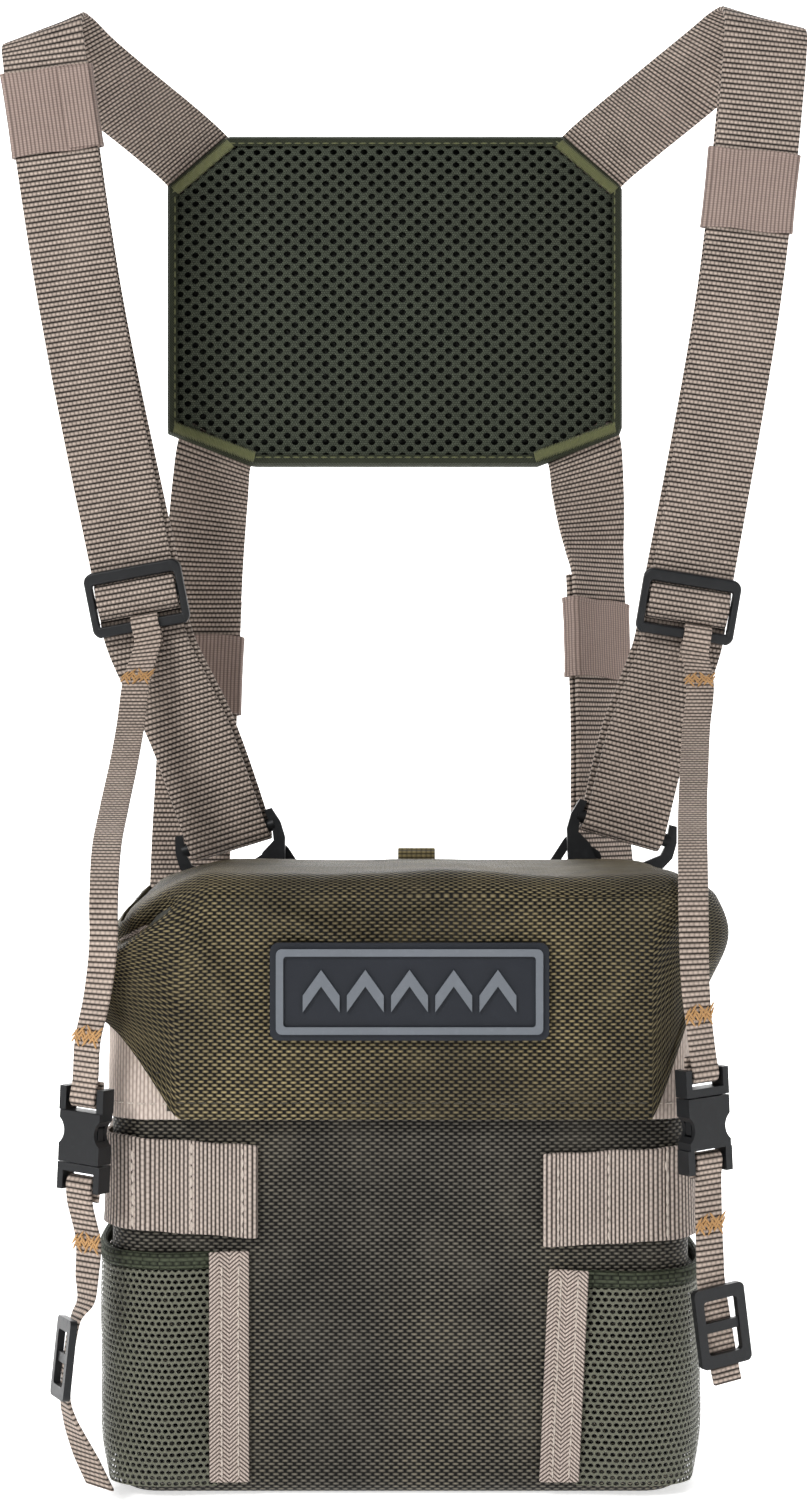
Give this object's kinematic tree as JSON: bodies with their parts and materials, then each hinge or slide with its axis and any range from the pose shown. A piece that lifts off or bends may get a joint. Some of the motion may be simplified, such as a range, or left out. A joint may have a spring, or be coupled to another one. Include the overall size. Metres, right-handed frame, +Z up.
{
  "type": "binocular harness pack",
  "caption": "Padded chest pouch with a hinged hooded lid, mesh side pockets and a webbing harness with a back pad, adjusters, hooks and buckled tethers.",
  "frame": {"origin": "centre of the pouch's flat base", "axes": "+X to the right seen from the front, -Y the way the badge faces, +Z up the harness"},
  "size_m": [0.2459, 0.1733, 0.4329],
  "materials": {
    "pouch_fabric": "matte woven",
    "lid_fabric": "matte woven",
    "webbing": "matte woven",
    "light_webbing": "matte woven",
    "binding": "matte woven",
    "pocket_mesh": "matte woven",
    "pad_mesh": "matte woven",
    "padding_foam": "matte woven",
    "lining": "matte woven",
    "badge_cloth": "matte woven",
    "badge_thread": "embroidered",
    "plastic": "moulded",
    "board": "sheet",
    "magnet": "plated"
  },
  "bodies": {
    "pouch": {"pouch_shell": "pouch_fabric", "pouch_foam": "padding_foam", "pouch_lining": "lining", "base_board": "board", "rim_binding": "binding", "lid_hinge_tape": "webbing", "rear_pull_tab": "webbing", "rear_mesh_pad": "pad_mesh", "pouch_magnets": "magnet", "left_mesh_pocket": "pocket_mesh", "right_mesh_pocket": "pocket_mesh", "pocket_hems": "pocket_mesh", "pocket_tapes": "binding", "left_molle_loop": "webbing", "right_molle_loop": "webbing", "left_side_band": "light_webbing", "right_side_band": "light_webbing", "back_pad_mesh": "pad_mesh", "back_pad_foam": "padding_foam", "back_pad_backing": "pouch_fabric", "back_pad_binding": "binding", "left_shoulder_strap": "webbing", "right_shoulder_strap": "webbing", "left_side_strap": "webbing", "right_side_strap": "webbing", "ladder_locks": "plastic", "ladder_lock_tabs": "webbing", "hook_rings": "plastic", "hook_ring_tabs": "webbing"},
    "lid": {"lid_shell": "lid_fabric", "lid_foam": "padding_foam", "lid_lining": "lining", "lid_magnets": "magnet", "badge_base": "badge_cloth", "badge_frame": "badge_thread", "badge_motif": "badge_thread"},
    "left_shoulder_keeper": {"left_shoulder_keeper": "light_webbing"},
    "left_side_keeper": {"left_side_keeper": "light_webbing"},
    "left_glide": {"left_tri_glide": "plastic", "left_glide_webbing": "webbing"},
    "left_tether": {"left_upper_tether": "webbing", "left_buckle_socket": "plastic"},
    "left_tether_end": {"left_lower_tether": "webbing", "left_buckle_plug": "plastic"},
    "left_arm_inner": {"left_release_arm_inner": "plastic"},
    "left_arm_outer": {"left_release_arm_outer": "plastic"},
    "left_tether_slider": {"left_tether_slider": "plastic"},
    "left_hook": {"left_hook": "plastic"},
    "right_shoulder_keeper": {"right_shoulder_keeper": "light_webbing"},
    "right_side_keeper": {"right_side_keeper": "light_webbing"},
    "right_glide": {"right_tri_glide": "plastic", "right_glide_webbing": "webbing"},
    "right_tether": {"right_upper_tether": "webbing", "right_buckle_plug": "plastic"},
    "right_tether_end": {"right_lower_tether": "webbing", "right_buckle_socket": "plastic"},
    "right_arm_inner": {"right_release_arm_inner": "plastic"},
    "right_arm_outer": {"right_release_arm_outer": "plastic"},
    "right_tether_slider": {"right_tether_slider": "plastic"},
    "right_hook": {"right_hook": "plastic"}
  },
  "joints": [
    {"name": "lid_hinge", "type": "hinge", "parent": "pouch", "child": "lid", "pos_m": [0, 0.046, 0.167], "axis": [-1, 0, 0], "range_deg": [0, 73]},
    {"name": "left_shoulder_keeper_slide", "type": "slide", "parent": "pouch", "child": "left_shoulder_keeper", "axis": [0.1317, 0.1168, -0.9844], "range_m": [-0.002, 0.03]},
    {"name": "left_side_keeper_slide", "type": "slide", "parent": "pouch", "child": "left_side_keeper", "axis": [-0.0344, -0.1294, -0.991], "range_m": [-0.008, 0.008]},
    {"name": "left_glide_slide", "type": "slide", "parent": "pouch", "child": "left_glide", "axis": [-0.1809, -0.1199, 0.9762], "range_m": [0, 0.04]},
    {"name": "left_tether_swing", "type": "hinge", "parent": "left_glide", "child": "left_tether", "pos_m": [-0.07924, 0.04772, 0.24398], "axis": [-0.9833, 0, -0.1822], "range_deg": [0, 73]},
    {"name": "left_buckle_release", "type": "slide", "parent": "left_tether", "child": "left_tether_end", "axis": [-0.0444, 0.0277, -0.9986], "range_m": [0, 0.014]},
    {"name": "left_arm_inner_flex", "type": "hinge", "parent": "left_tether_end", "child": "left_arm_inner", "pos_m": [-0.08249, -0.0577, 0.09207], "axis": [-0.5299, -0.848, 0], "range_deg": [0, 5], "stiffness_Nm_per_rad": 0.02},
    {"name": "left_arm_outer_flex", "type": "hinge", "parent": "left_tether_end", "child": "left_arm_outer", "pos_m": [-0.09011, -0.05293, 0.09255], "axis": [0.5299, 0.848, 0], "range_deg": [0, 5], "stiffness_Nm_per_rad": 0.02},
    {"name": "left_slider_slide", "type": "slide", "parent": "left_tether_end", "child": "left_tether_slider", "axis": [-0.1351, 0.018, -0.9907], "range_m": [-0.006, 0.006]},
    {"name": "left_hook_tilt", "type": "hinge", "parent": "pouch", "child": "left_hook", "pos_m": [-0.0542, 0.057, 0.1775], "axis": [0.9563, 0, 0.2924], "range_deg": [-3, 3]},
    {"name": "right_shoulder_keeper_slide", "type": "slide", "parent": "pouch", "child": "right_shoulder_keeper", "axis": [-0.0903, 0.1142, -0.9893], "range_m": [-0.028, 0.012]},
    {"name": "right_side_keeper_slide", "type": "slide", "parent": "pouch", "child": "right_side_keeper", "axis": [0.0228, -0.1077, -0.9939], "range_m": [-0.008, 0.008]},
    {"name": "right_glide_slide", "type": "slide", "parent": "pouch", "child": "right_glide", "axis": [0.1549, -0.1173, 0.9809], "range_m": [0, 0.04]},
    {"name": "right_tether_swing", "type": "hinge", "parent": "right_glide", "child": "right_tether", "pos_m": [0.09199, 0.0477, 0.2406], "axis": [-0.9877, 0.0011, 0.1561], "range_deg": [0, 73]},
    {"name": "right_buckle_release", "type": "slide", "parent": "right_tether", "child": "right_tether_end", "axis": [0.0444, 0.0277, -0.9986], "range_m": [0, 0.014]},
    {"name": "right_arm_inner_flex", "type": "hinge", "parent": "right_tether", "child": "right_arm_inner", "pos_m": [0.07809, -0.06307, 0.11126], "axis": [0.5299, -0.848, 0], "range_deg": [0, 5], "stiffness_Nm_per_rad": 0.02},
    {"name": "right_arm_outer_flex", "type": "hinge", "parent": "right_tether", "child": "right_arm_outer", "pos_m": [0.08571, -0.0583, 0.11173], "axis": [-0.5299, 0.848, 0], "range_deg": [0, 5], "stiffness_Nm_per_rad": 0.02},
    {"name": "right_slider_slide", "type": "slide", "parent": "right_tether_end", "child": "right_tether_slider", "axis": [0.1628, 0.0514, -0.9853], "range_m": [-0.006, 0.006]},
    {"name": "right_hook_tilt", "type": "hinge", "parent": "pouch", "child": "right_hook", "pos_m": [0.07, 0.057, 0.1805], "axis": [0.9613, 0, -0.2756], "range_deg": [-3, 3]}
  ],
  "couplings": [
    {"joint": "left_tether_swing", "follows": "lid_hinge", "ratio": 1},
    {"joint": "left_arm_outer_flex", "follows": "left_arm_inner_flex", "ratio": 1},
    {"joint": "right_tether_swing", "follows": "lid_hinge", "ratio": 1},
    {"joint": "right_arm_outer_flex", "follows": "right_arm_inner_flex", "ratio": 1}
  ]
}
